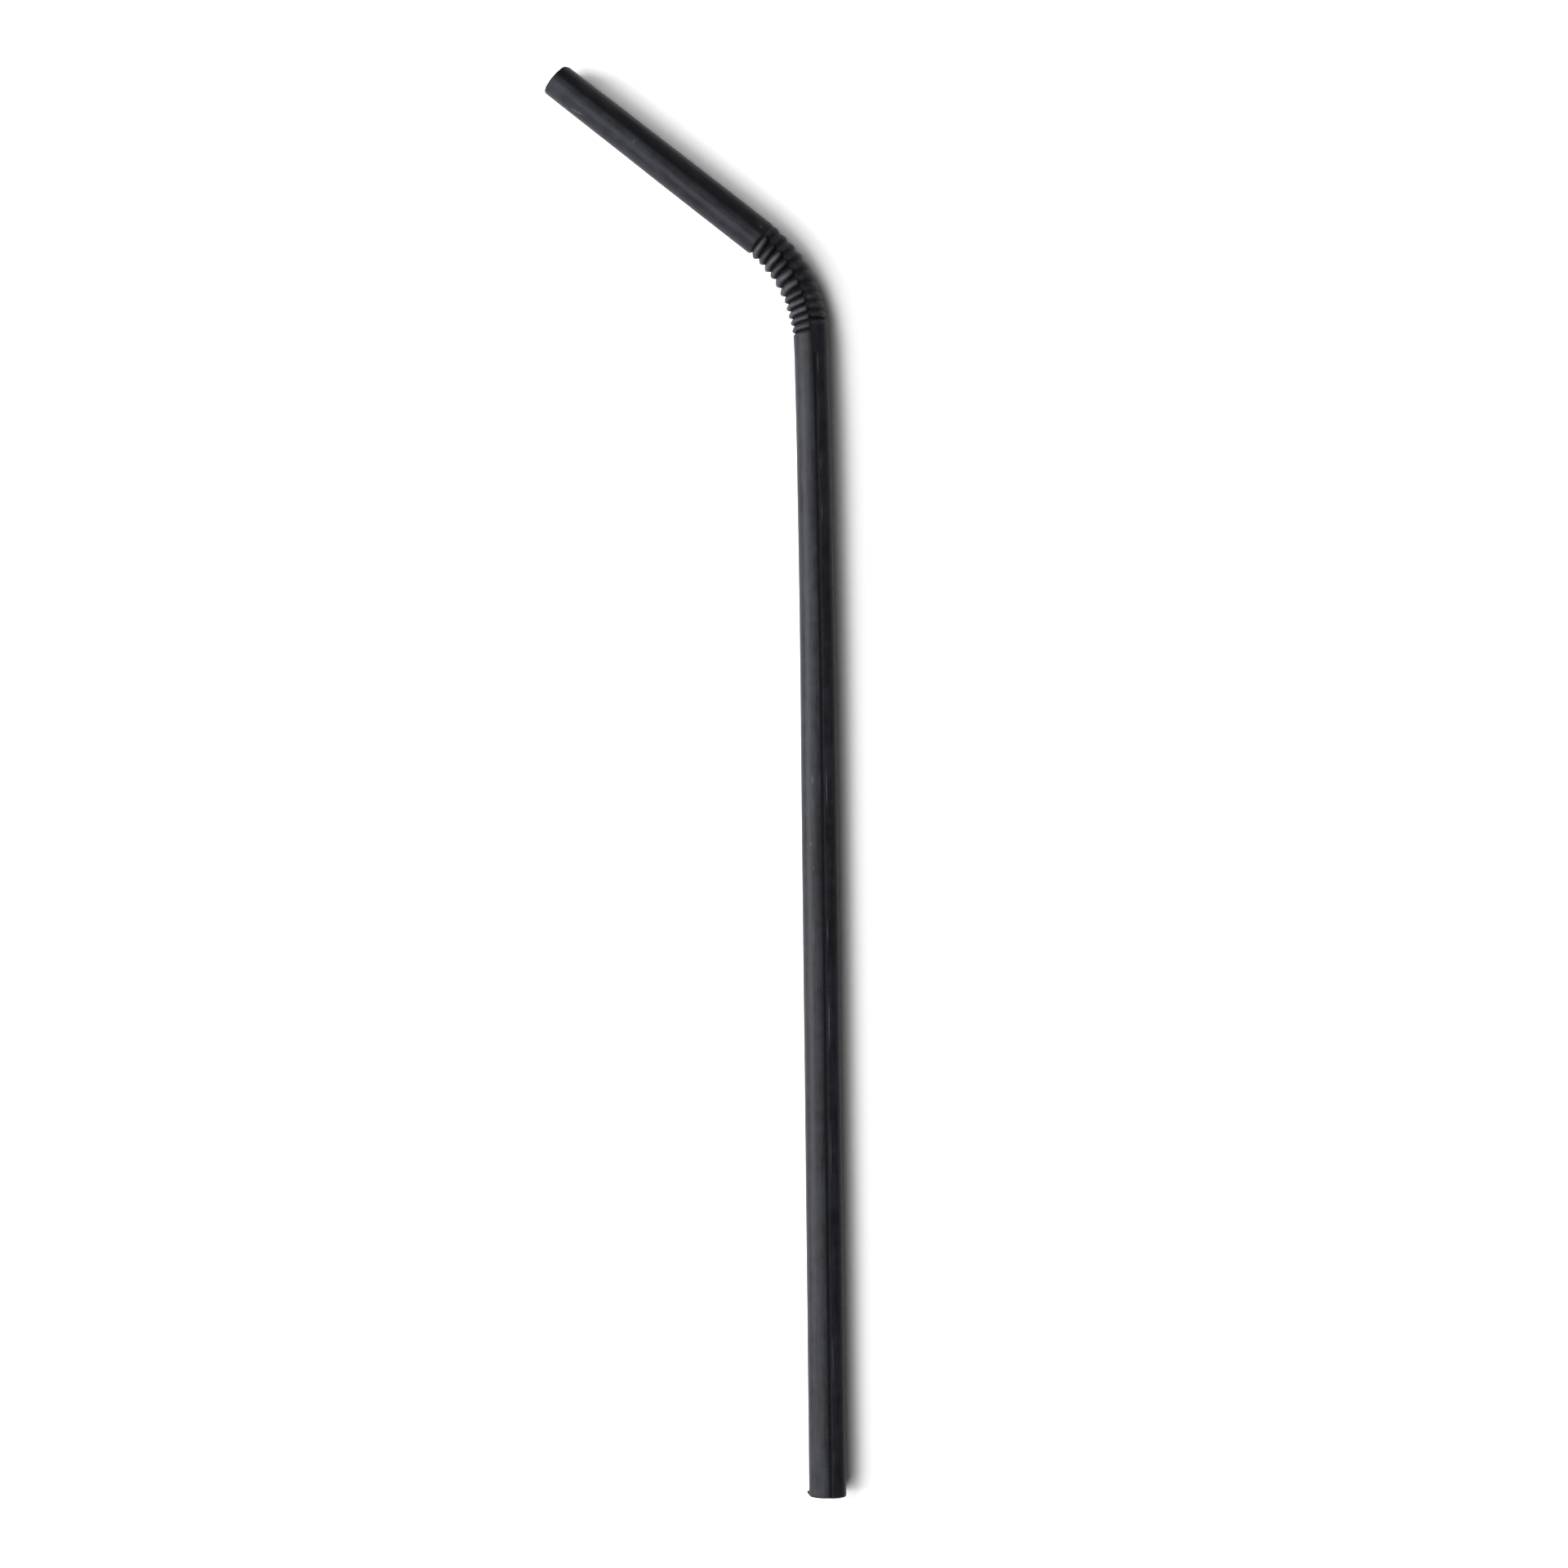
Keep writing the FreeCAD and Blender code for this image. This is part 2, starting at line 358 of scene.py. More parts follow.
# The values that the guides carry are read back, once for all the later steps.
run, rib, girth, lift, raw, inside = [
    add_node(tree, "GeometryNodeInputNamedAttribute", {"Name": name}, data_type="FLOAT")
    for name in ("run", "rib", "girth", "lift", "raw", "inside")
]
past_bellows = add_node(
    tree, "ShaderNodeMapRange",
    {"Value": run, "From Min": size["Bellows Start"], "From Max": size["Bellows End"]},
)
twist = add_node(
    tree, "ShaderNodeMath", [past_bellows, size["Seam Twist"], size["Seam Angle"]], operation="MULTIPLY_ADD"
)
tilted = add_node(tree, "GeometryNodeSetCurveTilt", {"Curve": run_curve, "Tilt": twist})
section = add_node(tree, "GeometryNodeObjectInfo", {"Object": size["Section"]})
section_curve = add_node(tree, "GeometryNodeMeshToCurve", {"Mesh": section.outputs["Geometry"]})
tube = add_node(
    tree, "GeometryNodeCurveToMesh", {"Curve": tilted, "Profile Curve": section_curve, "Fill Caps": True}
)
print(len(tree.nodes), "nodes as far as the sweep")

# %% [markdown]
# ## Which way is out, and which side is which
# Each point now works out its spoke, from the middle of its ring to itself, and how far aside and
# how far above the middle that puts it. Pushing along the spoke moves the wall in and out.

# %% Spokes
position = add_node(tree, "GeometryNodeInputPosition")
middle, along = [
    add_node(tree, "GeometryNodeInputNamedAttribute", {"Name": name}, data_type="FLOAT_VECTOR")
    for name in ("middle", "along")
]
spoke = add_node(tree, "ShaderNodeVectorMath", [position, middle], operation="SUBTRACT")
outward = add_node(tree, "ShaderNodeVectorMath", [spoke], operation="NORMALIZE")
sideways = add_node(tree, "ShaderNodeVectorMath", [along, (0, 0, 1)], operation="CROSS_PRODUCT")
aside = add_node(tree, "ShaderNodeVectorMath", [spoke, sideways], operation="DOT_PRODUCT").outputs["Value"]
above = add_node(tree, "ShaderNodeSeparateXYZ", [spoke]).outputs["Z"]
height = add_node(tree, "ShaderNodeSeparateXYZ", [position]).outputs["Z"]

# %% [markdown]
# ## Where the ribs are
# Every ring knows its place in the bellows, counted in ribs. Two things move that place a little
# for a single point. The crimping wheels met over the seam without quite lining up, so the ribs to
# the right of it sit a fraction of a rib nearer to the mouth. And each groove wavers as it goes
# round, because paper gives unevenly. The two ends of the bellows run out in a rounded shoulder.

# %% Place each point in its rib
# Rounding must not throw the points on the edge itself to its far side, so they get a margin.
EDGE_MARGIN = 0.001 * MM
SKEW_EASE = 1.5
WAVER_SIZE = 2.6 * MM
WHOLLY_IN = 0.999
past_lip = add_node(tree, "ShaderNodeMath", [girth, EDGE_MARGIN], operation="ADD")
past_lip = add_node(tree, "ShaderNodeMath", [past_lip, size["Girth"]], operation="FLOORED_MODULO")
before_lip = add_node(tree, "ShaderNodeMath", [size["Girth"], past_lip], operation="SUBTRACT")
skew = add_node(
    tree, "ShaderNodeMapRange",
    {"Value": before_lip, "From Max": size["Seam Skew Reach"], "To Min": 1.0, "To Max": 0.0},
)
skew = add_node(tree, "ShaderNodeMath", [skew, SKEW_EASE], operation="POWER")
misfit = add_node(
    tree, "ShaderNodeMapRange",
    {"Value": past_lip, "From Max": size["Seam Misfit Reach"], "To Min": size["Seam Misfit"], "To Max": 0.0},
)
misfit = add_node(tree, "ShaderNodeMath", [skew, size["Seam Skew"], misfit], operation="MULTIPLY_ADD")
waver = add_node(
    tree, "ShaderNodeTexNoise",
    {"Vector": position, "W": size["Seed"], "Scale": 1 / WAVER_SIZE, "Detail": 1.0},
    noise_dimensions="4D",
)
waver = add_node(tree, "ShaderNodeMath", [waver, -0.5], operation="ADD")
waver = add_node(tree, "ShaderNodeMath", [waver, size["Rib Waver"], rib], operation="MULTIPLY_ADD")
placed = add_node(tree, "ShaderNodeMath", [waver, misfit], operation="SUBTRACT")
phase = add_node(tree, "ShaderNodeMath", [placed], operation="FRACT")

foot_shoulder = add_node(
    tree, "ShaderNodeMath", [size["Bellows Start"], size["Shoulder"]], operation="SUBTRACT"
)
mouth_shoulder = add_node(
    tree, "ShaderNodeMath", [size["Bellows End"], size["Shoulder"]], operation="ADD"
)
from_stem = add_node(
    tree, "ShaderNodeMapRange", {"Value": run, "From Min": foot_shoulder, "From Max": size["Bellows Start"]}
)
from_leg = add_node(
    tree, "ShaderNodeMapRange", {"Value": run, "From Min": mouth_shoulder, "From Max": size["Bellows End"]}
)
shoulders = add_node(tree, "ShaderNodeMath", [from_stem, from_leg], operation="MINIMUM")
in_bellows = add_node(tree, "ShaderNodeMath", [shoulders, WHOLLY_IN], operation="GREATER_THAN")

# %% [markdown]
# ## Crimp the ribs
# The crimping wheels press narrow grooves into the tube and leave ribs between them. A rib isn't
# even. Near the stem its crest stands close to its foot side and it falls steeply there. Towards
# the mouth, where the bend has pulled the ribs open, the crest is nearer to the middle. A point is
# pressed in from 0 at the crest to 1 in a groove, by a rounded curve.

# %% Crimp
crest = add_node(
    tree, "ShaderNodeMapRange",
    {"Value": rib, "From Max": size["Rib Count"], "To Min": size["Crest Near Foot"],
     "To Max": size["Crest Near Mouth"]},
)
to_foot = add_node(
    tree, "ShaderNodeMapRange", {"Value": phase, "From Max": crest, "To Min": 1.0, "To Max": 0.0}
)
to_mouth = add_node(tree, "ShaderNodeMapRange", {"Value": phase, "From Min": crest})
within_rib = add_node(tree, "ShaderNodeMath", [to_foot, to_mouth], operation="MAXIMUM")
fall = add_node(tree, "ShaderNodeMath", [within_rib, shoulders], operation="MULTIPLY")
pressed = add_node(tree, "ShaderNodeMath", [fall, size["Rib Rounding"]], operation="POWER")
rib_number = add_node(tree, "ShaderNodeMath", [placed], operation="FLOOR")
rib_chance = add_node(
    tree, "FunctionNodeRandomValue", {"ID": rib_number, "Seed": size["Seed"]}, data_type="FLOAT"
)
weak_crest = add_node(tree, "ShaderNodeMath", [rib_chance, size["Rib Variation"]], operation="MULTIPLY")
weak_crest = add_node(tree, "ShaderNodeMath", [weak_crest, in_bellows], operation="MULTIPLY")
pressed = add_node(tree, "ShaderNodeMapRange", {"Value": pressed, "To Min": weak_crest})

# %% [markdown]
# ## How deep the crimp goes
# Where two layers are glued together the sheet resists, so the grooves are shallower over the lap
# and reach their full depth a quarter of the way round. On the inside of the bend the ribs are
# pushed together and swell out. The wheels also squeeze the lap itself, so from the bellows on
# its edge hardly stands up.

# %% Depth of the crimp
# How far along the bellows, and the depth over the lap as a share of the full depth.
LAP_DEPTHS = [
    (0, 0.12), (0.045, 0.3), (0.091, 1.0), (0.14, 0.8), (0.18, 0.7), (0.35, 0.6), (0.6, 0.62),
    (0.9, 0.6), (1, 0.7),
]
bellows_share = add_node(tree, "ShaderNodeMath", [placed, size["Rib Count"]], operation="DIVIDE")
over_lap = add_node(tree, "ShaderNodeFloatCurve", {"Value": bellows_share})
draw_curve(over_lap, LAP_DEPTHS)
past_lap = add_node(
    tree, "ShaderNodeMath", [size["Lap Width"], size["Full Depth Past Lap"]], operation="ADD"
)
stiffness = add_node(
    tree, "ShaderNodeMapRange",
    {"Value": past_lip, "From Min": size["Lap Width"], "From Max": past_lap, "To Min": over_lap},
    interpolation_type="SMOOTHSTEP",
)
deepest = add_node(tree, "ShaderNodeMath", [size["Groove Depth"], stiffness], operation="MULTIPLY")
deepest = add_node(tree, "ShaderNodeMath", [deepest, -1.0], operation="MULTIPLY")
rise = add_node(
    tree, "ShaderNodeMapRange",
    {"Value": aside, "From Min": 0.0, "From Max": -TUBE_RADIUS, "To Min": size["Crest Rise Outside Bend"],
     "To Max": size["Crest Rise Inside Bend"]},
)
rise = add_node(tree, "ShaderNodeMath", [rise, in_bellows], operation="MULTIPLY")
crimp = add_node(
    tree, "ShaderNodeMapRange", {"Value": pressed, "To Min": rise, "To Max": deepest}, clamp=False
)
lap_flat_at = add_node(
    tree, "ShaderNodeMath", [size["Lap Pressed From"], size["Lap Pressed Over"]], operation="ADD"
)
lap_flat = add_node(
    tree, "ShaderNodeMapRange", {"Value": run, "From Min": size["Lap Pressed From"], "From Max": lap_flat_at}
)
squeeze = add_node(tree, "ShaderNodeMath", [size["Lap Pressed Flat"], lap_flat], operation="MULTIPLY")
squeeze = add_node(tree, "ShaderNodeMath", [squeeze, lift], operation="MULTIPLY")
crimp = add_node(tree, "ShaderNodeMath", [crimp, squeeze], operation="SUBTRACT")
print(len(tree.nodes), "nodes as far as the crimp")

# %% [markdown]
# ## What the knife leaves
# A blade rolls the last tenth of a millimetre of the wall inwards at both cuts. At the foot it
# also left a burr, a small tab of paper that stands out on the left side. The rings of the mesh
# near the ends are where both change.

# %% Rolled rims and a burr
RIM = END_STEPS[2]
BURR_FULL_TO, BURR_GONE_AT = END_STEPS[3], END_STEPS[5]
mouth_gap = add_node(tree, "ShaderNodeMath", [size["Run Length"], run], operation="SUBTRACT")
to_end = add_node(tree, "ShaderNodeMath", [run, mouth_gap], operation="MINIMUM")
rim = add_node(
    tree, "ShaderNodeMapRange", {"Value": to_end, "From Max": RIM, "To Min": size["Rim Roll"], "To Max": 0.0}
)
crimp = add_node(tree, "ShaderNodeMath", [crimp, rim], operation="SUBTRACT")
burr_run = add_node(
    tree, "ShaderNodeMapRange",
    {"Value": run, "From Min": BURR_FULL_TO, "From Max": BURR_GONE_AT, "To Min": 1.0, "To Max": 0.0},
)
burr_girth = add_node(tree, "ShaderNodeMath", [girth, size["Burr Girth"]], operation="SUBTRACT")
burr_girth = add_node(tree, "ShaderNodeMath", [burr_girth], operation="ABSOLUTE")
burr = add_node(
    tree, "ShaderNodeMapRange",
    {"Value": burr_girth, "From Min": size["Burr Half Width At Top"], "From Max": size["Burr Half Width"],
     "To Min": size["Burr Height"], "To Max": 0.0},
)
burr = add_node(tree, "ShaderNodeMath", [burr, burr_run], operation="MULTIPLY")
crimp = add_node(tree, "ShaderNodeMath", [crimp, burr], operation="ADD")

# %% [markdown]
# ## Nothing rolled from paper is quite round
# A slow noise moves the wall in and out by a few hundredths of a millimetre, as damp and handling
# do. It is added to the crimp, and both push each point straight away from the middle of its ring.

# %% Push in and out
WAVE = 14 * MM
dent = add_node(
    tree, "ShaderNodeTexNoise", {"Vector": position, "W": size["Seed"], "Scale": 2 / WAVE, "Detail": 2.0},
    noise_dimensions="4D",
)
uneven = add_node(tree, "ShaderNodeMath", [dent, -0.5], operation="ADD")
uneven = add_node(tree, "ShaderNodeMath", [uneven, size["Unevenness"]], operation="MULTIPLY")
uneven = add_node(tree, "ShaderNodeMath", [uneven, 2.0, crimp], operation="MULTIPLY_ADD")
push = add_node(tree, "ShaderNodeVectorMath", {0: outward, "Scale": uneven}, operation="SCALE")
tube = add_node(tree, "GeometryNodeSetPosition", {"Geometry": tube, "Offset": push})

# %% [markdown]
# ## Flatten the tube a little where it was squeezed
# ## A curve drawn through listed points says how wide the tube is along its run: a little wide at the foot, a
# little narrow below the bellows and at the mouth. What is wide is as much lower, and the height
# is scaled from the floor, so the straw still lies on it.

# %% Make it oval
# How far along the run, and the width as a share of a round tube's. A curve node holds 0 to 1, so
# the curve is drawn half a width lower and lifted again.
WIDTHS = [
    (0, 1.035), (0.25, 1.015), (0.45, 1.01), (0.62, 0.97), (0.74, 0.965), (0.78, 1.0), (0.84, 1.02),
    (0.92, 1.0), (1, 0.965),
]
LOWERED = 0.5
run_share = add_node(tree, "ShaderNodeMath", [run, size["Run Length"]], operation="DIVIDE")
width_curve = add_node(tree, "ShaderNodeFloatCurve", {"Value": run_share})
draw_curve(width_curve, [(share, width - LOWERED) for share, width in WIDTHS])
wide = add_node(tree, "ShaderNodeMath", [width_curve, LOWERED], operation="ADD")
wider = add_node(tree, "ShaderNodeMath", [wide, -1.0], operation="ADD")
tall = add_node(tree, "ShaderNodeMath", [1.0, wide], operation="DIVIDE")
taller = add_node(tree, "ShaderNodeMath", [tall, -1.0], operation="ADD")

widen = add_node(tree, "ShaderNodeMath", [aside, wider], operation="MULTIPLY")
heighten = add_node(tree, "ShaderNodeMath", [height, taller], operation="MULTIPLY")
oval = add_node(tree, "ShaderNodeVectorMath", {0: sideways, "Scale": widen}, operation="SCALE")
upright = add_node(tree, "ShaderNodeCombineXYZ", {"Z": heighten})
oval = add_node(tree, "ShaderNodeVectorMath", [oval, upright], operation="ADD")
tube = add_node(tree, "GeometryNodeSetPosition", {"Geometry": tube, "Offset": oval})

# %% [markdown]
# ## Cut the ends on the slant
# The knife never meets a paper tube quite squarely. The last few millimetres are sheared along
# the run, by how high and how far aside each point lies, so the cuts lean as real ones do. The
# right corner of the mouth is bent over into a small dog ear, and the burr curls back up the stem.

# %% Slant the ends
CUT_REACH = 4 * MM
EAR_FROM = 0.72 * TUBE_RADIUS
EAR_TO = 1.04 * TUBE_RADIUS
EAR_EASE = 1.6
BURR_CURL = 1.3
mouth_reach = add_node(tree, "ShaderNodeMath", [size["Run Length"], CUT_REACH], operation="SUBTRACT")
near_foot = add_node(
    tree, "ShaderNodeMapRange", {"Value": run, "From Max": CUT_REACH, "To Min": 1.0, "To Max": 0.0}
)
near_mouth = add_node(
    tree, "ShaderNodeMapRange", {"Value": run, "From Min": mouth_reach, "From Max": size["Run Length"]}
)
foot_slant = add_node(tree, "ShaderNodeMath", [above, size["Foot Lean"]], operation="MULTIPLY")
foot_slant = add_node(tree, "ShaderNodeMath", [foot_slant, near_foot], operation="MULTIPLY")
mouth_slant = add_node(tree, "ShaderNodeMath", [aside, size["Mouth Skew"]], operation="MULTIPLY")
mouth_lean = add_node(tree, "ShaderNodeMath", [above, size["Mouth Lean"]], operation="MULTIPLY")
mouth_slant = add_node(tree, "ShaderNodeMath", [mouth_lean, mouth_slant], operation="SUBTRACT")
both_slants = add_node(
    tree, "ShaderNodeMath", [mouth_slant, near_mouth, foot_slant], operation="MULTIPLY_ADD"
)
ear = add_node(tree, "ShaderNodeMapRange", {"Value": aside, "From Min": EAR_FROM, "From Max": EAR_TO})
ear = add_node(tree, "ShaderNodeMath", [ear, EAR_EASE], operation="POWER")
at_mouth = add_node(
    tree, "ShaderNodeMapRange",
    {"Value": mouth_gap, "From Max": size["Dog Ear Length"], "To Min": size["Dog Ear Shift"], "To Max": 0.0},
)
with_ear = add_node(tree, "ShaderNodeMath", [ear, at_mouth, both_slants], operation="MULTIPLY_ADD")
along_run = add_node(tree, "ShaderNodeMath", [burr, BURR_CURL, with_ear], operation="MULTIPLY_ADD")
slant = add_node(tree, "ShaderNodeVectorMath", {0: along, "Scale": along_run}, operation="SCALE")
tube = add_node(tree, "GeometryNodeSetPosition", {"Geometry": tube, "Offset": slant})
print(len(tree.nodes), "nodes as far as the cuts")

# %% [markdown]
# ## Painted shade in the grooves and along the lap
# The coat is made matte in the grooves and painted black there as shade, by how deep they are.
# In the bellows a dark band is painted along the lap as shade: a narrow one just before the lip
# and a fainter one over the lap. Past the first few ribs the end of each rib by the lap is painted
# dark as shade too, on some ribs further back than on others. The crests are rubbed in the hand
# instead, and turn greyer.

# %% Painted groove shade and rubbed ribs
# How far the painted shade at the rib ends reaches from the lap, how strong it is, and where along
# the bellows it sets in. The next two lines set the painted shade over the lap and just before the
# lip. The last two lines say how deeply a point is pressed when its groove is painted in shade or
# its crest is rubbed.
RIB_END_SHADE_STRENGTH, TIP_REACH, MORE_REACH = 0.64, 1.9 * MM, 2.4 * MM
TIPS_FROM, TIPS_FULL = 0.1, 0.5
LAP_SHADE_STRENGTH, LIP_FROM, LIP_TO = 0.35, 0.4 * MM, 3.4 * MM
CREVICE_SHADE_FROM, CREVICE_SHADE_TO = 0.25 * MM, 0.5 * MM
GROOVE_SHADE_FROM, GROOVE_SHADE_FULL = 0.33, 0.95
RUBBED_TO = 0.4
tip_reach = add_node(tree, "ShaderNodeMath", [rib_chance, MORE_REACH, TIP_REACH], operation="MULTIPLY_ADD")
# Painted shade: the end of each rib near the lap is painted dark, further on some ribs than others.
rib_end_shade = add_node(
    tree, "ShaderNodeMapRange",
    {"Value": before_lip, "From Max": tip_reach, "To Min": RIB_END_SHADE_STRENGTH, "To Max": 0.0},
)
tip_share = add_node(
    tree, "ShaderNodeMapRange", {"Value": past_bellows, "From Min": TIPS_FROM, "From Max": TIPS_FULL}
)
rib_end_shade = add_node(tree, "ShaderNodeMath", [rib_end_shade, tip_share], operation="MULTIPLY")
rib_end_shade = add_node(tree, "ShaderNodeMath", [rib_end_shade, shoulders], operation="MULTIPLY")
# Painted shade: the grooves are painted near-black by how deeply they are pressed.
groove_shade = add_node(tree, "ShaderNodeMath", [pressed, stiffness, rib_end_shade], operation="MULTIPLY_ADD")
groove_shade = add_node(
    tree, "ShaderNodeMapRange", {"Value": groove_shade, "From Min": GROOVE_SHADE_FROM, "From Max": GROOVE_SHADE_FULL}
)
# Painted shade: a faint dark band over the lap, and a narrow one just before the lip, in the bellows.
lap_shade = add_node(
    tree, "ShaderNodeMapRange",
    {"Value": past_lip, "From Min": LIP_FROM, "From Max": LIP_TO, "To Min": LAP_SHADE_STRENGTH, "To Max": 0.0},
)
crevice_shade = add_node(
    tree, "ShaderNodeMapRange",
    {"Value": before_lip, "From Min": CREVICE_SHADE_FROM, "From Max": CREVICE_SHADE_TO, "To Min": 1.0, "To Max": 0.0},
)
seam_shade = add_node(tree, "ShaderNodeMath", [lap_shade, crevice_shade], operation="MAXIMUM")
seam_shade = add_node(tree, "ShaderNodeMath", [seam_shade, shoulders], operation="MULTIPLY")
# All the painted shade is gathered here, for the colour and the roughness of the coat.
bruised = add_node(tree, "ShaderNodeMath", [groove_shade, seam_shade], operation="MAXIMUM")
rubbed = add_node(
    tree, "ShaderNodeMapRange", {"Value": pressed, "From Max": RUBBED_TO, "To Min": in_bellows, "To Max": 0.0}
)

# %% [markdown]
# ## Painted shade along the lap on the legs
# On the short leg the lap is pressed flat, and a soft dark line is painted along it as shade. All
# along both legs its lip is made matte and painted darker as shade too. Both join the painted shade
# of the bellows, and each point takes the strongest of all these.

# %% Painted shade along the lap
VALLEY_SHADE_STRENGTH = 0.8
LIP_SHADE_STRENGTH, LIP_SHADE_FROM, LIP_SHADE_TO = 0.6, 0.45 * MM, 0.75 * MM
from_lip = add_node(tree, "ShaderNodeMath", [past_lip, before_lip], operation="MINIMUM")
# Painted shade: a soft dark line along the flattened lap on the short leg.
valley_shade = add_node(
    tree, "ShaderNodeMapRange",
    {"Value": from_lip, "From Max": size["Glue Reach"], "To Min": VALLEY_SHADE_STRENGTH, "To Max": 0.0},
    interpolation_type="SMOOTHSTEP",
)
valley_shade = add_node(tree, "ShaderNodeMath", [valley_shade, lap_flat], operation="MULTIPLY")
# Painted shade: the lip of the lap on both legs is painted darker.
lip_shade = add_node(
    tree, "ShaderNodeMapRange",
    {"Value": past_lip, "From Min": LIP_SHADE_FROM, "From Max": LIP_SHADE_TO, "To Min": LIP_SHADE_STRENGTH, "To Max": 0.0},
)
on_legs = add_node(tree, "ShaderNodeMath", [1.0, shoulders], operation="SUBTRACT")
lip_shade = add_node(tree, "ShaderNodeMath", [lip_shade, on_legs], operation="MULTIPLY")
for leg_shade in (valley_shade, lip_shade):
    bruised = add_node(tree, "ShaderNodeMath", [bruised, leg_shade], operation="MAXIMUM")
print(len(tree.nodes), "nodes as far as the wear")

# %% [markdown]
# ## A flat map of the sheet
# Paper has a direction, so its finish has to follow the sheet. The tree lays a map on the mesh in
# millimetres of sheet: along the run one way and round the girth the other. It stores how much
# painted shade and how much rubbing each point has too, for the finish of the coat.

# %% Map the sheet
run_mm = add_node(tree, "ShaderNodeMath", [run, MM], operation="DIVIDE")
girth_mm = add_node(tree, "ShaderNodeMath", [girth, MM], operation="DIVIDE")
sheet_place = add_node(tree, "ShaderNodeCombineXYZ", {"X": run_mm, "Y": girth_mm})
tube = add_node(
    tree, "GeometryNodeStoreNamedAttribute", {"Geometry": tube, "Name": "Sheet", "Value": sheet_place},
    data_type="FLOAT2", domain="CORNER",
)
for key, value in (("bruised", bruised), ("rubbed", rubbed)):
    tube = add_node(
        tree, "GeometryNodeStoreNamedAttribute", {"Geometry": tube, "Name": key, "Value": value},
        data_type="FLOAT", domain="POINT",
    )

# %% [markdown]
# ## Finish the tree
# Three finishes are set by what a face is: the coated face, bare fibre where the sheet was left
# uncoated or its edge was skived, painted near-black as shade, and the two ends that the knife cut.
# The strip the knife rolled in at each end takes the near-black fibre finish too, as painted shade.
# An end is one face with many corners, which is how it is told from the wall.

# %% Set the materials
WALL_CORNERS = 4
coated = bpy.data.materials.new("Calendered_black_coated_paper")
fibre_and_painted_shade = bpy.data.materials.new("Uncoated_kraft_paper_and_painted_shade")
sheared = bpy.data.materials.new("Knife_cut_black_paper_end")
rolled_over = add_node(tree, "ShaderNodeMath", [run, lap_flat_at], operation="LESS_THAN")
raw_shown = add_node(tree, "ShaderNodeMath", [raw, rolled_over], operation="MULTIPLY")
bare = add_node(tree, "ShaderNodeMath", [raw_shown, inside], operation="MAXIMUM")
# A face takes the average of its corners, so only a face that is bare at all of them counts.
ALL_CORNERS = 0.99
is_bare = add_node(
    tree, "FunctionNodeCompare", {0: bare, 1: ALL_CORNERS}, data_type="FLOAT", operation="GREATER_THAN"
)
corners = add_node(tree, "GeometryNodeInputMeshFaceNeighbors").outputs["Vertex Count"]
is_cap = add_node(tree, "ShaderNodeMath", [corners, WALL_CORNERS + 0.5], operation="GREATER_THAN")
# Painted shade: the rolled strip at each cut takes the near-black fibre finish.
on_rim = add_node(tree, "FunctionNodeCompare", {0: to_end, 1: RIM}, data_type="FLOAT", operation="LESS_THAN")
is_fibre = add_node(tree, "FunctionNodeBooleanMath", [is_bare, on_rim], operation="OR")
tube = add_node(tree, "GeometryNodeRealizeInstances", [tube])
for chosen, finish in ((True, coated), (is_fibre, fibre_and_painted_shade), (is_cap, sheared)):
    tube = add_node(
        tree, "GeometryNodeSetMaterial", {"Geometry": tube, "Selection": chosen, "Material": finish}
    )
add_node(tree, "NodeGroupOutput", [tube])
print(len(tree.nodes), "nodes in the tree")

# %% [markdown]
# ## From guides to a straw
# The tree goes on the run guide, and each input is set before anything looks at the result. The
# finished straw is a plain mesh: the guides and the modifier have done their work and go.

# %% Make the straw
SHARP_FROM = math.radians(50)
modifier = run_guide.modifiers.new("Roll_and_crimp", "NODES")
modifier.node_group = tree
for item in tree.interface.items_tree:
    if item.in_out == "INPUT" and tree_inputs[item.name][1] is not None:
        modifier[item.identifier] = tree_inputs[item.name][1]
evaluated = run_guide.evaluated_get(bpy.context.evaluated_depsgraph_get())
straw_mesh = bpy.data.meshes.new_from_object(evaluated)
straw_mesh.name = "Straw_of_rolled_paper"
straw = bpy.data.objects.new("Straw_of_rolled_paper", straw_mesh)
bpy.context.scene.collection.objects.link(straw)
for used in (run_guide, section_guide):
    bpy.data.objects.remove(used)
for face in straw_mesh.polygons:
    face.use_smooth = True
straw_mesh.set_sharp_from_angle(angle=SHARP_FROM)
print(len(straw_mesh.polygons), "faces,", len(straw_mesh.vertices), "points")

# %% [markdown]
# ## Lay the sheet out to be painted
# A game or a viewer paints a shape from a flat picture. This straw is forty times as long as it is
# wide, so one strip would waste most of a square picture. The sheet is cut into three bands, laid
# side by side, with the two cut ends in a column of their own. The inside gets less room.

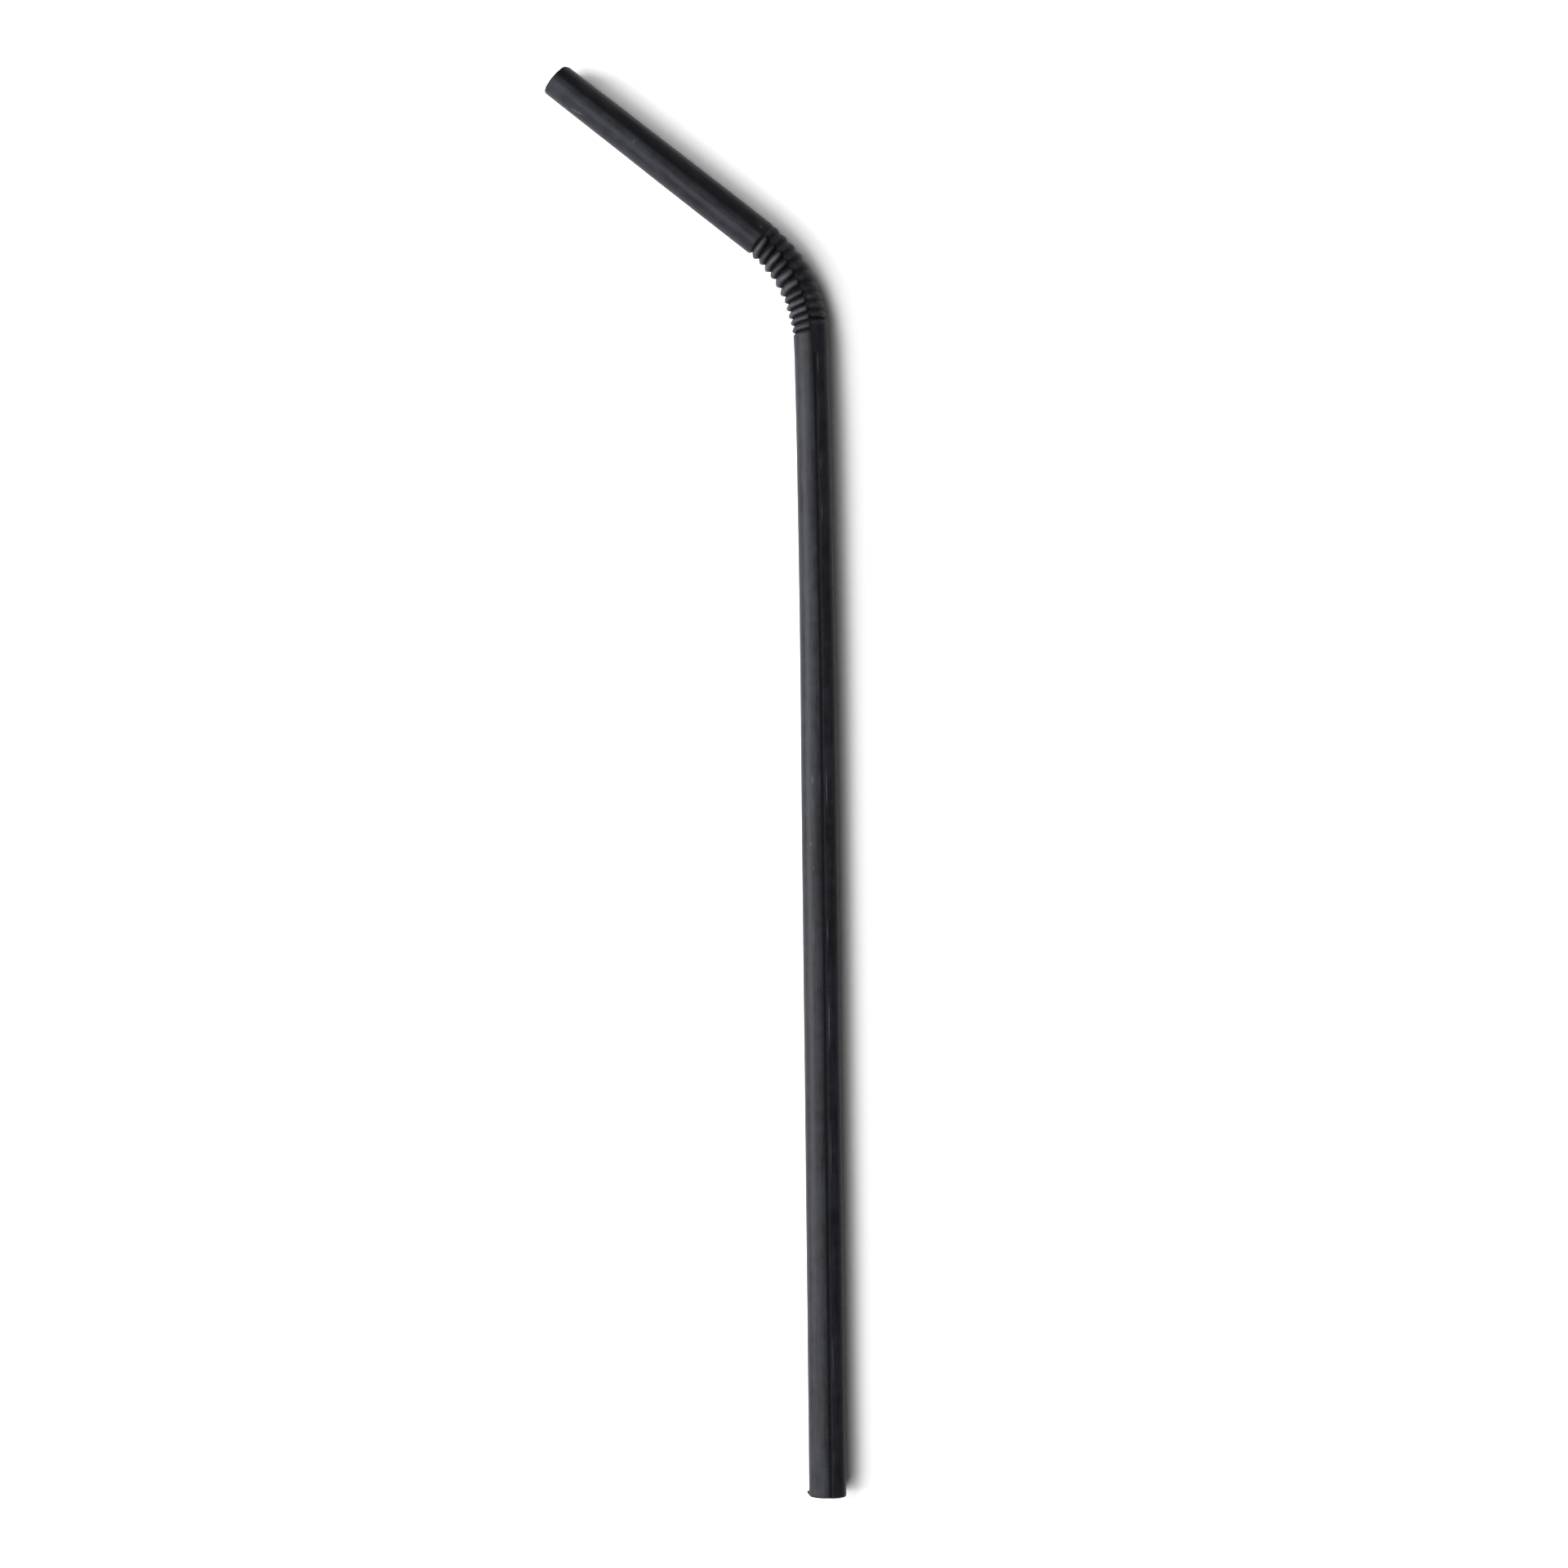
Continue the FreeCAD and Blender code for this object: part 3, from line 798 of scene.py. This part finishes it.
# %% Make the paint map
BANDS = 3
BAND_GAP = 0.6 * MM
CAP_CELL = 6.5 * MM
band_length = run_length / BANDS
map_side = max(band_length + 2 * LEG_STEP + CAP_CELL, BANDS * (around_all + BAND_GAP))
run_at = [0.0] * len(straw_mesh.vertices)
around_at = run_at.copy()
straw_mesh.attributes["run"].data.foreach_get("value", run_at)
straw_mesh.attributes["around"].data.foreach_get("value", around_at)
paint_map = straw_mesh.uv_layers.new(name="OFBake")
for face in straw_mesh.polygons:
    corners_at = [around_at[v] for v in face.vertices]
    middle_run = sum(run_at[v] for v in face.vertices) / len(face.vertices)
    band = min(int(middle_run / band_length), BANDS - 1)
    for loop, vertex, place in zip(face.loop_indices, face.vertices, corners_at):
        if len(face.vertices) > WALL_CORNERS:
            is_mouth = middle_run > run_length / 2
            offset = straw_mesh.vertices[vertex].co - (mouth if is_mouth else foot)
            across = math.copysign(math.hypot(offset.x, offset.y), offset.x)
            u = map_side - CAP_CELL / 2 + across
            v = CAP_CELL * (1.5 if is_mouth else 0.5) + offset.z
        else:
            wrapped = max(corners_at) - place > around_all / 2
            u = run_at[vertex] - band * band_length + LEG_STEP
            v = band * (around_all + BAND_GAP) + BAND_GAP / 2 + place + (around_all if wrapped else 0)
        paint_map.data[loop].uv = (u / map_side, v / map_side)
straw_mesh.uv_layers["Sheet"].active_render = True
for key in ("middle", "along", "rib", "run", "girth", "raw", "inside", "lift", "around"):
    straw_mesh.attributes.remove(straw_mesh.attributes[key])
print("paint map of", round(map_side / MM, 1), "mm")

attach(straw, "root")
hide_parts("paper_straw")


# %% [markdown]
# ## Colours
# A hex value is how a colour is written for a screen. Shaders need the light itself, so one
# function turns each pair of digits into a linear number.

# %% Hex to linear
def linear(hex_colour):
    levels = [int(hex_colour[i:i + 2], 16) / 255 for i in (1, 3, 5)]
    return (*[v / 12.92 if v <= 0.04045 else ((v + 0.055) / 1.055) ** 2.4 for v in levels], 1.0)


# %% [markdown]
# ## Coated black paper
# The sheet is black-dyed kraft, coated and then calendered between steel rollers. It gives the eye
# a satin sheen with soft edges that isn't quite even, over lengthwise streaks, because under the
# coat the fibres lie mostly along the run. The sheet's own map carries both, in millimetres, so
# they follow the bend. Clouds 12 mm across and mottle 1.8 mm across are true to size. A fibre is
# 0.03 mm wide and 2 mm long, too fine to show, so the streaks are drawn 0.35 mm wide and 5 mm long.

# %% Coated paper
# Widths and lengths are in millimetres of sheet. The three noises add up to a tone between the
# darkest and palest sums almost everywhere, and the roughness goes from glossier to duller.
DARKEST_SUM, PALEST_SUM = 1.15, 1.85
GLOSSIER, DULLER, WORN_OFF = 0.31, 0.41, 0.85
FIBRE_WIDTH = 0.35
FIBRE_LENGTH = 5.0
MOTTLE = 1.8
CLOUD = 12.0
RELIEF = 0.03 * MM
DARK_COAT, PALE_COAT = "#1A1A1E", "#292A2F"
RUBBED = "#4B4B51"
# Grey of the scuffs, and of the glint lines painted on the lip as highlight.
SCUFF_AND_GLINT_GREY = "#7C7C80"
# Near-black of the painted shade in the grooves and along the lap.
PAINTED_SHADE_BLACK = "#080809"

coated.use_nodes = True
nodes = coated.node_tree
nodes.nodes.clear()
sheet = add_node(nodes, "ShaderNodeUVMap", uv_map="Sheet")
fibre_place = add_node(
    nodes, "ShaderNodeMapping", {"Vector": sheet, "Scale": (1 / FIBRE_LENGTH, 1 / FIBRE_WIDTH, 1)}
)
fibres = add_node(nodes, "ShaderNodeTexNoise", {"Vector": fibre_place, "Scale": 1.0, "Detail": 3.0})
mottle = add_node(nodes, "ShaderNodeTexNoise", {"Vector": sheet, "Scale": 1 / MOTTLE, "Detail": 3.0})
clouds = add_node(nodes, "ShaderNodeTexNoise", {"Vector": sheet, "Scale": 1 / CLOUD, "Detail": 2.0})
tone = add_node(nodes, "ShaderNodeMath", [mottle, clouds], operation="ADD")
tone = add_node(nodes, "ShaderNodeMath", [tone, fibres], operation="ADD")
tone = add_node(
    nodes, "ShaderNodeMapRange", {"Value": tone, "From Min": DARKEST_SUM, "From Max": PALEST_SUM}
)
black = add_node(
    nodes, "ShaderNodeMix", {"Factor": tone, "A": linear(DARK_COAT), "B": linear(PALE_COAT)}, data_type="RGBA"
)
sheen = add_node(nodes, "ShaderNodeMapRange", {"Value": tone, "To Min": GLOSSIER, "To Max": DULLER})
rubbed = add_node(nodes, "ShaderNodeAttribute", attribute_name="rubbed").outputs["Fac"]
rub = add_node(nodes, "ShaderNodeMath", [rubbed, mottle], operation="MULTIPLY")
black = add_node(
    nodes, "ShaderNodeMix", {"Factor": rub, "A": black.outputs["Result"], "B": linear(RUBBED)},
    data_type="RGBA",
)
print(coated.name, len(nodes.nodes), "nodes for the colour")

# %% [markdown]
# ## Scuffs, and painted glints on the lip
# Along the lip of the lap, thin broken pale lines are painted as highlight: they stand for the glint
# of its lit cut edge. There are a few small scuffs besides, by the middle of the stem and near the
# mouth. Each mark is an oval with a ragged edge. A line says how far along the run it is, how far
# round the girth, its half length and half width in millimetres, and how strong it is. The lines
# are 0.1 mm wide and more, where real ones are hairs of 0.05 mm that would hardly show.

# %% Paint the scuffs and lip glints in
FRAY = 0.12
TEAR = 0.25
# Rows at a girth under 1 mm lie on the lip and are painted highlight; the rest are scuffs.
SCUFFS_AND_LIP_GLINTS = [
    (99.6, 14.53, 0.8, 0.3, 0.16), (95.8, 14.53, 3.9, 0.1, 0.14), (90.7, 14.11, 0.4, 0.16, 0.22),
    (87.4, 14.56, 0.3, 0.16, 0.16), (78.0, 14.4, 2.2, 0.07, 0.12), (66.0, 0.66, 4.5, 0.08, 0.6),
    (78.5, 0.62, 2.4, 0.08, 0.5), (5.5, 0.58, 1.9, 0.08, 0.22), (19.0, 0.64, 4.0, 0.07, 0.35),
    (48.0, 0.66, 5.0, 0.07, 0.4), (98.5, 0.7, 3.4, 0.08, 0.55), (157.3, 0.64, 2.0, 0.07, 0.6),
    (151.2, 0.64, 1.6, 0.05, 0.3), (143.4, 0.66, 1.1, 0.06, 0.35), (136.6, 0.66, 1.7, 0.06, 0.45),
    (208.05, 12.68, 0.9, 0.25, 0.2), (207.3, 12.9, 0.4, 0.14, 0.3), (198.8, 14.58, 0.14, 0.3, 0.2),
    (177.75, 0.45, 0.3, 0.12, 0.5), (109.0, 12.2, 3.0, 0.08, 0.12), (31.0, 12.9, 3.4, 0.07, 0.1),
    (141.0, 13.6, 2.6, 0.07, 0.1),
]
scuffs_and_glints = None
torn = add_node(nodes, "ShaderNodeTexNoise", {"Vector": sheet, "Scale": 1 / TEAR, "Detail": 2.0})
frayed = add_node(
    nodes, "ShaderNodeVectorMath", [torn.outputs["Color"], (FRAY, FRAY, FRAY), sheet],
    operation="MULTIPLY_ADD",
)
for mark_run, mark_girth, half_length, half_width, strength in SCUFFS_AND_LIP_GLINTS:
    middle_at = (mark_run + FRAY / 2, mark_girth + FRAY / 2, FRAY / 2)
    offset = add_node(nodes, "ShaderNodeVectorMath", [frayed, middle_at], operation="SUBTRACT")
    offset = add_node(
        nodes, "ShaderNodeVectorMath", [offset, (half_length, half_width, 1)], operation="DIVIDE"
    )
    reach = add_node(nodes, "ShaderNodeVectorMath", [offset], operation="LENGTH").outputs["Value"]
    mark = add_node(nodes, "ShaderNodeMapRange", {"Value": reach, "To Min": strength, "To Max": 0.0})
    scuffs_and_glints = mark if scuffs_and_glints is None else add_node(nodes, "ShaderNodeMath", [scuffs_and_glints, mark], operation="MAXIMUM")
# Painted highlight and scuffs: the marks turn the coat pale grey.
black = add_node(
    nodes, "ShaderNodeMix", {"Factor": scuffs_and_glints, "A": black.outputs["Result"], "B": linear(SCUFF_AND_GLINT_GREY)},
    data_type="RGBA",
)
print(len(SCUFFS_AND_LIP_GLINTS), "marks")

# %% [markdown]
# ## The finish of the coat
# Where shade is painted, and on the scuffs and glint lines, the coat loses its sheen, so roughness
# rises with both; where shade is painted the colour turns near-black too. Coated black paper
# mirrors little straight on, which keeps it black under a bright panel. The relief is 0.03 mm.

# %% Finish the coat
# Painted shade: the stored shade turns the coat near-black, except under the scuffs and glint lines.
painted_shade = add_node(nodes, "ShaderNodeAttribute", attribute_name="bruised").outputs["Fac"]
clear_of_marks = add_node(nodes, "ShaderNodeMath", [1.0, scuffs_and_glints], operation="SUBTRACT")
painted_shade = add_node(nodes, "ShaderNodeMath", [painted_shade, clear_of_marks], operation="MULTIPLY")
black = add_node(
    nodes, "ShaderNodeMix", {"Factor": painted_shade, "A": black.outputs["Result"], "B": linear(PAINTED_SHADE_BLACK)},
    data_type="RGBA",
)
shade_or_mark = add_node(nodes, "ShaderNodeMath", [painted_shade, scuffs_and_glints], operation="MAXIMUM")
roughness = add_node(nodes, "ShaderNodeMapRange", {"Value": shade_or_mark, "To Min": sheen, "To Max": WORN_OFF})
relief = add_node(nodes, "ShaderNodeMath", [fibres, mottle], operation="ADD")
bump = add_node(nodes, "ShaderNodeBump", {"Height": relief, "Strength": 0.35, "Distance": RELIEF})
paper = add_node(
    nodes, "ShaderNodeBsdfPrincipled",
    {"Base Color": black.outputs["Result"], "Roughness": roughness, "Specular IOR Level": 0.077,
     "Normal": bump},
)
add_node(nodes, "ShaderNodeOutputMaterial", [paper])
print(coated.name, len(nodes.nodes), "nodes")

# %% [markdown]
# ## Bare fibre and cut ends
# Where the sheet has no coat, on its inside and along its skived edge, black-dyed fibre shows. It
# gives a dead matte finish, finely speckled. Bare fibre is dark, and it is painted darker still,
# near-black, as painted shade in the crevice of the seam and on the rims that the knife rolled in.
# At the two ends the knife shears the fibres and their tips stand up, so the cut wall reads as a
# thin ring a shade lighter than the dark inside. A fibre is 0.03 mm across, too fine to show, so
# the specks are drawn 0.18 mm across.

# %% Fibre
FIBRE_SPECK = 0.18 * MM
for material, dark, pale, tips in (
    # Painted shade: near-black, darker than dyed fibre, for the seam's crevice and the rolled rims.
    (fibre_and_painted_shade, "#060608", "#151518", 0.05 * MM),
    (sheared, "#1A1A1C", "#38383C", 0.08 * MM),
):
    material.use_nodes = True
    nodes = material.node_tree
    nodes.nodes.clear()
    place = add_node(nodes, "ShaderNodeTexCoord").outputs["Object"]
    specks = add_node(nodes, "ShaderNodeTexNoise", {"Vector": place, "Scale": 1 / FIBRE_SPECK, "Detail": 2.0})
    bare_tone = add_node(nodes, "ShaderNodeMapRange", {"Value": specks, "From Min": 0.35, "From Max": 0.75})
    bare_black = add_node(
        nodes, "ShaderNodeMix", {"Factor": bare_tone, "A": linear(dark), "B": linear(pale)}, data_type="RGBA"
    )
    bare_bump = add_node(nodes, "ShaderNodeBump", {"Height": specks, "Strength": 0.4, "Distance": tips})
    bare_paper = add_node(
        nodes, "ShaderNodeBsdfPrincipled",
        {"Base Color": bare_black.outputs["Result"], "Roughness": 0.9, "Specular IOR Level": 0.05,
         "Normal": bare_bump},
    )
    add_node(nodes, "ShaderNodeOutputMaterial", [bare_paper])
    print(material.name, len(nodes.nodes), "nodes")

# %% [markdown]
# ## The floor
# The straw lies on a plain matte white board, as wide as the light from the left keeps it white.
# It isn't part of the straw, so it only sets the stage.

# %% Floor
LEFT, RIGHT, NEAR, FAR = -500 * MM, 165 * MM, -300 * MM, 165 * MM
floor_mesh = bpy.data.meshes.new("Floor")
corners_of_board = [(LEFT, NEAR, 0), (RIGHT, NEAR, 0), (RIGHT, FAR, 0), (LEFT, FAR, 0)]
floor_mesh.from_pydata(corners_of_board, [], [(0, 1, 2, 3)])
floor = bpy.data.objects.new("Floor", floor_mesh)
bpy.context.scene.collection.objects.link(floor)
white = bpy.data.materials.new("Matte_white_board")
white.use_nodes = True
nodes = white.node_tree
nodes.nodes.clear()
board = add_node(
    nodes, "ShaderNodeBsdfPrincipled",
    {"Base Color": linear("#F9F9F9"), "Roughness": 0.9, "Specular IOR Level": 0.1},
)
add_node(nodes, "ShaderNodeOutputMaterial", [board])
floor_mesh.materials.append(white)
print("board of", round((RIGHT - LEFT) / MM), "by", round((FAR - NEAR) / MM), "mm")

# %% [markdown]
# ## The camera looks straight down
# A long thin thing that lies flat reads best from straight above. A fairly long lens keeps both
# ends from leaning outwards. The camera is turned a little, so the stem runs slightly off upright.

# %% Camera
CAMERA_HEIGHT = 431.8 * MM
FRAME_WIDTH = 218.2 * MM
ROLL = math.radians(0.68)
AIM_LEFT = 6.09 * MM
AIM_UP = 99.01 * MM
SENSOR = 36
view_right = Vector((math.cos(ROLL), -math.sin(ROLL), 0))
view_up = Vector((math.sin(ROLL), math.cos(ROLL), 0))
centre = foot - AIM_LEFT * view_right + AIM_UP * view_up
camera_data = bpy.data.cameras.new("Camera")
camera_data.sensor_width = SENSOR
camera_data.lens = SENSOR * CAMERA_HEIGHT / FRAME_WIDTH
camera = bpy.data.objects.new("Camera", camera_data)
camera.location = (centre.x, centre.y, TUBE_RADIUS + CAMERA_HEIGHT)
camera.rotation_euler = (0, 0, -ROLL)
bpy.context.scene.collection.objects.link(camera)
bpy.context.scene.camera = camera
print("lens of", round(camera_data.lens, 1), "mm")

# %% [markdown]
# ## Soft light from the left
# Black paper shows its shape only by what it mirrors. A tall soft panel low on the left puts a
# broad grey sheen along the left flank, and leaves the right flank dark. Two higher soft boxes, one
# towards each end, keep the floor white and the shadow short and soft on the right.

# %% Light
LIGHTS = {
    # name: (azimuth and elevation in degrees, distance, width and height in metres, power in watts)
    "Left_panel": (180, 20, 0.9, 0.5, 0.6, 12.7),
    "Upper_left": (148, 51, 1.1, 0.6, 0.45, 6.9),
    "Lower_left": (228, 52, 1.1, 0.9, 0.6, 11.0),
}
for name, (azimuth, elevation, distance, panel_width, panel_height, power) in LIGHTS.items():
    light_data = bpy.data.lights.new(name, "AREA")
    light_data.shape = "RECTANGLE"
    light_data.size = panel_width
    light_data.size_y = panel_height
    light_data.energy = power
    light = bpy.data.objects.new(name, light_data)
    a, e = math.radians(azimuth), math.radians(elevation)
    away = Vector((math.cos(a) * math.cos(e), math.sin(a) * math.cos(e), math.sin(e)))
    light.location = Vector((centre.x, centre.y, 0)) + away * distance
    light.rotation_euler = away.to_track_quat("Z", "Y").to_euler()
    bpy.context.scene.collection.objects.link(light)
    print(name, round(distance / MM), "mm away")

# %% [markdown]
# ## A dim room
# A dim room lifts the deepest shadow a little. Past the board the camera itself sees plain white,
# so that a low view has a clean background too.

# %% Room
ROOM = 0.075
world = bpy.data.worlds.new("Dim_room")
bpy.context.scene.world = world
world.use_nodes = True
nodes = world.node_tree
nodes.nodes.clear()
seen = add_node(nodes, "ShaderNodeLightPath").outputs["Is Camera Ray"]
glow = add_node(nodes, "ShaderNodeMapRange", {"Value": seen, "To Min": ROOM, "To Max": 1.0})
room = add_node(nodes, "ShaderNodeBackground", {"Color": (1, 1, 1, 1), "Strength": glow})
add_node(nodes, "ShaderNodeOutputWorld", [room])
bpy.context.scene.view_settings.view_transform = "Standard"
print(world.name, "at a strength of", ROOM)
